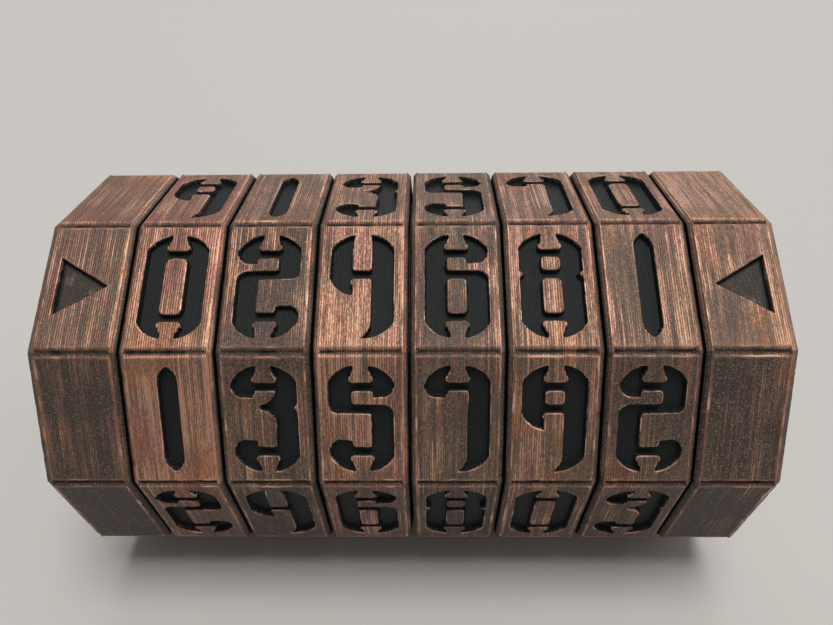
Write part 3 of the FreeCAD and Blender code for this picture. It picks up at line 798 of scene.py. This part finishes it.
def rubbed_copper(name, seed, warmth, contrast):
    """Black printed plastic with antique copper rubbed over its high spots."""
    n = Nodes(name)
    shift = seed * 3.7
    tone = n.layer_tone(15.0, shift)
    fine = n.noise((0.14, 3.5, 3.5), 2.0, 0.6, shift + 5)
    streak = n.noise((0.8, 20.0, 20.0), 2.0, 0.55, shift + 1)
    broad = n.noise((2.6, 14.0, 14.0), 2.0, 0.5, shift + 2)
    blotch = n.noise((3.6, 6.0, 6.0), 3.0, 0.6, shift + 3)
    grit = n.noise((0.15, 0.55, 0.55), 2.0, 0.75, shift + 4)
    region = n.noise((9.0, 9.0, 9.0), 1.0, 0.5, shift + 8)
    hue = n.noise((7.0, 11.0, 11.0), 2.0, 0.6, shift + 6)
    # pale flecks: painted glints
    glint = n.ramp(n.noise((0.13, 0.13, 0.13), 1.0, 0.5, shift + 7), 0.58, 0.68)
    lines = n.layer_lines()
    edge, deep, cover = n.attribute("edge"), n.attribute("deep"), n.attribute("cover")
    on_end = n.math("GREATER_THAN", n.attribute("hoop"), ON_END)

    # how much copper stays: on the crests of the printed lines, in streaks and in flecks,
    # with the noises taken about their middle values
    stripy = n.span(n.ramp(region, 0.4, 0.6), 0.35, 1.5)
    share = n.math("MULTIPLY", n.math("MULTIPLY", lines, LINE_WEIGHT), stripy)
    comb = n.math("MULTIPLY", n.math("SUBTRACT", tone, 0.5), stripy)
    share = n.math("ADD", share, n.math("MULTIPLY", comb, TONE_WEIGHT))
    weights = ((fine, 0.9), (streak, 0.95), (broad, 0.55), (blotch, 0.55), (grit, 1.6))
    for source, weight in weights:
        share = n.math("ADD", share, n.math("MULTIPLY", source, weight))
    middle = LINE_WEIGHT / 2 + sum(weight for _, weight in weights) / 2
    share = n.math("SUBTRACT", share, middle)
    share = n.math("MULTIPLY", share, n.span(on_end, contrast, END_CONTRAST))
    share = n.math("ADD", n.math("ADD", share, 0.5), cover)
    # edges: rubbed copper with a painted highlight
    rub = n.math("ADD", share, n.math("MULTIPLY", edge, 0.5))
    rub = n.math("MAXIMUM", rub, n.math("MULTIPLY", edge, 1.15))
    rub = n.math("SUBTRACT", rub, n.math("MULTIPLY", deep, 1.5), clamp=True)

    soot = n.mix(n.ramp(blotch, 0.44, 0.64), SOOT_BROWN, SOOT_GREY)
    soot = n.mix(n.ramp(cover, -0.4, -0.1), SOOT_BARE, soot)
    pink, olive = (0.250 * warmth, 0.107, 0.076), (0.205 * warmth, 0.118, 0.072)
    orange = (0.270 * warmth, 0.110, 0.056)
    copper = n.mix(n.ramp(hue, 0.5, 0.62), olive, orange)
    copper = n.mix(n.ramp(hue, 0.42, 0.52), pink, copper)
    colour = n.mix(n.ramp(rub, 0.0, 0.74), soot, copper)
    polish = n.math("MULTIPLY", n.ramp(rub, 0.62, 1.15), 0.85)
    colour = n.mix(polish, colour, BRIGHT_COPPER)
    # the painted highlight along the edges
    colour = n.mix(n.ramp(edge, 0.5, 1.0), colour, EDGE_HIGHLIGHT_COPPER)
    # painted glints
    colour = n.mix(n.math("MULTIPLY", glint, 0.4), colour, GLINT_SPECK)
    # black in the recesses, lifted and tinted blue-grey as a painted sheen; the groove bottoms
    # partly painted shade
    colour = n.mix(n.ramp(deep, 0.35, 0.9), colour, RECESS_BLACK_AND_SHEEN)
    n.set(n.shader.inputs["Base Color"], colour)
    n.set(n.shader.inputs["Metallic"], n.span(n.ramp(rub, 0.1, 0.7), 0.0, 0.5))
    n.set(n.shader.inputs["Specular IOR Level"], n.span(deep, 0.38, 0.22))
    rough = n.math("ADD", n.span(rub, 0.55, 0.36), n.math("MULTIPLY", grit, 0.14))
    n.set(n.shader.inputs["Roughness"], rough)
    relief = n.math("ADD", n.math("MULTIPLY", lines, 0.5), n.math("MULTIPLY", tone, 0.5))
    relief = n.math("ADD", relief, n.math("MULTIPLY", fine, 0.5))
    relief = n.math("ADD", relief, n.math("MULTIPLY", grit, 0.8))
    n.bump(relief, 0.06)
    return n.material


def bare_print(name, seed, grey):
    """Bare black printed plastic with its layer lines."""
    n = Nodes(name)
    fine = n.noise((0.25, 4.0, 4.0), 3.0, 0.6, seed)
    patch = n.noise((5.0, 5.0, 5.0), 3.0, 0.6, seed + 1)
    grit = n.noise((0.2, 0.2, 0.2), 2.0, 0.6, seed + 2)
    lines = n.layer_lines()
    tone = n.math("ADD", n.math("MULTIPLY", fine, 0.6), n.math("MULTIPLY", patch, 0.4))
    low, high = (grey * 0.6,) * 3, (grey * 2.0, grey * 2.0, grey * 2.1)
    n.set(n.shader.inputs["Base Color"], n.mix(n.ramp(tone, 0.3, 0.7), low, high))
    n.set(n.shader.inputs["Roughness"], n.span(grit, 0.38, 0.62))
    n.shader.inputs["Specular IOR Level"].default_value = 0.5
    relief = n.math("ADD", n.math("MULTIPLY", lines, 0.7), n.math("MULTIPLY", fine, 0.6))
    n.bump(relief, 0.03)
    return n.material


def black_oxide(name):
    """Black-oxide screw steel with lighter worn patches."""
    n = Nodes(name)
    patch = n.noise((0.8, 0.8, 0.8), 4.0, 0.6, 5.0)
    brush = n.noise((0.08, 0.5, 0.5), 2.0, 0.5, 6.0)
    n.set(n.shader.inputs["Base Color"],
          n.mix(n.ramp(patch, 0.35, 0.7), (0.05, 0.05, 0.055), (0.20, 0.19, 0.19)))
    n.shader.inputs["Metallic"].default_value = 1.0
    n.set(n.shader.inputs["Roughness"], n.span(brush, 0.3, 0.5))
    n.bump(brush, 0.01)
    return n.material


# ------------------------------------------------------------------ dials
dial_stops = ladder((-DIAL_WIDTH / 2, DIAL_WIDTH / 2), (EDGE_STOPS, EDGE_STOPS), LAYER)
digit_grids = [face_grid(dial_stops, outlines) for outlines in DIGITS]

# How warm and how streaky each dial looks, and how much copper shows on its faces, less copper
# reading
# darker: the one behind the marker row, the marker row and the one in front, in that order.
DIAL_TONE = ((1.06, 1.05), (0.92, 1.2), (1.02, 1.55), (0.88, 1.2), (1.0, 1.35), (0.94, 1.0))
DIAL_COVER = (
    (0.1, 0.2, 0.22), (-0.04, -0.2, -0.3), (0.0, 0.27, 0.06),
    (-0.08, -0.14, -0.26), (-0.04, 0.08, -0.17), (0.08, -0.01, -0.3),
)
# The unseen faces vary by COVER_SPREAD, drawn COVER_STEP apart in the noise. The face below the
# front one
# turns down and is painted as shade: it has SHADED_FACE_DROP less copper than the front one, or
# than SHADED_FACE_BELOW where that is lower.
COVER_STEP, COVER_SPREAD = 1.9, 0.5
SHADED_FACE_BELOW, SHADED_FACE_DROP = -0.1, 0.12
# seeds, to which the number of the dial or the side of the cap is added
DIAL_SEED, DIAL_COVER_SEED, DIAL_FINISH_SEED = 20, 61, 1
CAP_SEED, CAP_COVER_SEED, CAP_FINISH_SEED = 31, 71, 11


def face_covers(seen, seed):
    """Copper cover of the ten faces of a piece, from the marker row down past the front.
    The face below the front one, turned down, gets the least copper as painted shade, and the
    rest vary about the mean."""
    behind, marker, front = seen
    middles = np.full(FACES, 0.5)
    spots = np.stack([np.arange(FACES) * COVER_STEP, middles, middles], 1)
    covers = sum(seen) / 3 + COVER_SPREAD * (value_noise(spots, seed) - 0.5)
    covers[0], covers[1], covers[-1] = marker, front, behind
    # painted shade on the face turned down: less copper, so it reads darker
    covers[2] = min(front, SHADED_FACE_BELOW) - SHADED_FACE_DROP
    return covers


half = DIAL_WIDTH / 2
groove = (-half + SIDE_BEVEL, half - SIDE_BEVEL)
for number, code in enumerate(CODE):
    node = f"dial_{number + 1}"
    core = core_of(node)
    middle = sum(core[2]) / 2
    seed = DIAL_SEED + number
    skin = Skin((-half, half), (SIDE_BEVEL, SIDE_BEVEL), (1.0, 1.0), groove, 0.0, seed)
    covers = face_covers(DIAL_COVER[number], DIAL_COVER_SEED + number)
    for face in range(FACES):
        grid = digit_grids[(code + face) % 10]
        skin.add_face(grid, MARKER - STEP * face, middle, covers[face])
    piece = build(f"{node}_shell", node, f"{node}_unit", skin, core)
    seed = DIAL_FINISH_SEED + number
    finish = rubbed_copper(f"rubbed_copper_{node}", seed, *DIAL_TONE[number])
    piece.data.materials.append(finish)

# ------------------------------------------------------------------ end caps
# the same for the caps, with the copper on their end faces and how far their triangles'
# floors are rubbed
CAP_COVER = {-1: (0.1, -0.11, -0.42), 1: (0.26, 0.04, -0.38)}
CAP_TONE = (0.96, 0.95)
CAP_END_COVER = -0.12
CAP_FLOOR_WEAR = 0.95
for side, node, body in ((-1, "base_cap", "base"), (1, "pull_cap", "vault")):
    core = core_of(node, side)
    low, high = core[2]
    middle = (low + high) / 2
    half = (high - low) / 2
    bevels, slopes = (END_BEVEL, SIDE_BEVEL), (END_DROP / END_BEVEL, 1.0)
    if side > 0:
        bevels, slopes = bevels[::-1], slopes[::-1]
    fine = (CAP_STOPS, EDGE_STOPS) if side < 0 else (EDGE_STOPS, CAP_STOPS)
    stops = ladder((-half, half), fine, LAYER)
    groove = (-half + bevels[0], half - bevels[1])
    outer, inner = side * MARKER_OUTER - middle, side * MARKER_INNER - middle
    triangle = ((outer, MARKER_HALF), [(inner, 0.0), (outer, -MARKER_HALF), (outer, MARKER_HALF)])
    marked, plain = face_grid(stops, [triangle]), face_grid(stops, [])
    skin = Skin((-half, half), bevels, slopes, groove, CAP_FLOOR_WEAR, CAP_SEED + side)
    covers = face_covers(CAP_COVER[side], CAP_COVER_SEED + side)
    for face in range(FACES):
        grid = plain if face else marked
        raised = skin.add_face(grid, MARKER - STEP * face, middle, covers[face])
        skin.add_end(grid, raised, side, CAP_END_COVER)
    piece = build(f"{node}_shell", node, body, skin, core)
    finish = rubbed_copper(f"rubbed_copper_{node}", CAP_FINISH_SEED + side, *CAP_TONE)
    piece.data.materials.append(finish)


# ------------------------------------------------------------------ inner parts
DISSOLVE = math.radians(0.4)
BEVEL_FROM = math.radians(40)
INNER_SHARP = math.radians(35)
INNER_WELD = 1e-6


def eased(node, body, finish, width):
    """A copy of a CAD piece with its sharp edges rounded over."""
    work = bmesh.new()
    work.from_mesh(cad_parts[node].data)
    bmesh.ops.remove_doubles(work, verts=work.verts, dist=INNER_WELD)
    bmesh.ops.dissolve_limit(work, verts=work.verts, edges=work.edges,
                             angle_limit=DISSOLVE, delimit={"NORMAL"})
    mesh = bpy.data.meshes.new(node + "_eased")
    work.to_mesh(mesh)
    work.free()
    mesh.materials.append(finish)
    piece = bpy.data.objects.new(node + "_eased", mesh)
    bpy.context.scene.collection.objects.link(piece)
    soften = piece.modifiers.new("soften", "BEVEL")
    soften.width = width * MM
    soften.segments = 2
    soften.limit_method = "ANGLE"
    soften.angle_limit = BEVEL_FROM
    soften.use_clamp_overlap = False
    mesh.shade_smooth()
    mesh.set_sharp_from_angle(angle=INNER_SHARP)
    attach(piece, body)
    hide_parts(node)


core_print = bare_print("black_print_core", 2.0, 0.035)
ring_print = bare_print("black_print_ring", 9.0, 0.030)
screw_steel = black_oxide("black_oxide_steel")

# node, body, and how far its edges are rounded
EASED = (
    ("vault_tube", "vault", 0.25), ("lock_comb", "vault", 0.15),
    ("sleeve", "base", 0.2), ("retaining_collar", "base", 0.25),
)
for node, body, width in EASED:
    eased(node, body, core_print, width)

# The code rings and the screws stay as their CAD nodes. The other CAD nodes get a material
# too, but their replacements are what shows.
for label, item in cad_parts.items():
    finish = screw_steel if label.endswith("screws") else ring_print
    if not item.material_slots:
        item.data.materials.append(finish)
    for place in item.material_slots:
        place.material = finish

# ------------------------------------------------------------------ room, light, camera
floor_mesh = bpy.data.meshes.new("floor")
work = bmesh.new()
bmesh.ops.create_grid(work, x_segments=2, y_segments=2, size=12.0)
work.to_mesh(floor_mesh)
work.free()
floor = bpy.data.objects.new("floor", floor_mesh)
bpy.context.scene.collection.objects.link(floor)
pale = Nodes("pale_floor")
pale.shader.inputs["Base Color"].default_value = (0.50, 0.49, 0.475, 1)
pale.shader.inputs["Roughness"].default_value = 0.8
floor.data.materials.append(pale.material)

world = bpy.data.worlds.new("studio")
world.use_nodes = True
world.node_tree.nodes["Background"].inputs["Color"].default_value = (1.0, 0.98, 0.95, 1)
world.node_tree.nodes["Background"].inputs["Strength"].default_value = 0.22
bpy.context.scene.world = world
bpy.context.scene.view_settings.view_transform = "Standard"


def soft_sun(name, azimuth, elevation, spread, strength, colour):
    """An even soft light from a compass direction: azimuth 0 stands on the -Y side."""
    light = bpy.data.lights.new(name, "SUN")
    light.angle = math.radians(spread)
    light.energy = strength
    light.color = colour
    item = bpy.data.objects.new(name, light)
    turn, rise = math.radians(azimuth), math.radians(elevation)
    towards = Vector((math.sin(turn) * math.cos(rise), -math.cos(turn) * math.cos(rise),
                      math.sin(rise)))
    item.location = towards
    item.rotation_mode = "QUATERNION"
    item.rotation_quaternion = (-towards).to_track_quat("-Z", "Y")
    bpy.context.scene.collection.objects.link(item)


# azimuth, elevation and spread in degrees, then strength and colour
soft_sun("top_soft", 22, 76, 28, 2.3, (1.0, 0.98, 0.95))
soft_sun("right_fill", 90, 30, 45, 0.45, (1.0, 0.98, 0.96))
soft_sun("back_soft", 175, 35, 45, 0.75, (1.0, 0.99, 0.98))
soft_sun("front_fill", 20, 25, 45, 0.12, (1.0, 0.97, 0.92))

camera_data = bpy.data.cameras.new("camera")
camera_data.sensor_width = 36.0
camera_data.lens = 29.72
camera_data.clip_start = 0.005
camera = bpy.data.objects.new("camera", camera_data)
# the camera's place in metres and where it looks
camera_place = (0.0024, -0.0912, 0.0935)
yaw, pitch, roll = math.radians(-1.18), math.radians(32.58), math.radians(-0.85)
ahead = Vector((math.sin(yaw) * math.cos(pitch), math.cos(yaw) * math.cos(pitch),
                -math.sin(pitch)))
right = Vector((math.cos(yaw), -math.sin(yaw), 0))
rise = right.cross(ahead)
tilted_right = right * math.cos(roll) + rise * math.sin(roll)
tilted_up = rise * math.cos(roll) - right * math.sin(roll)
turn = Matrix((tilted_right, tilted_up, -ahead)).transposed()
camera.matrix_world = Matrix.Translation(camera_place) @ turn.to_4x4()
bpy.context.scene.collection.objects.link(camera)
bpy.context.scene.camera = camera

bpy.context.view_layer.update()
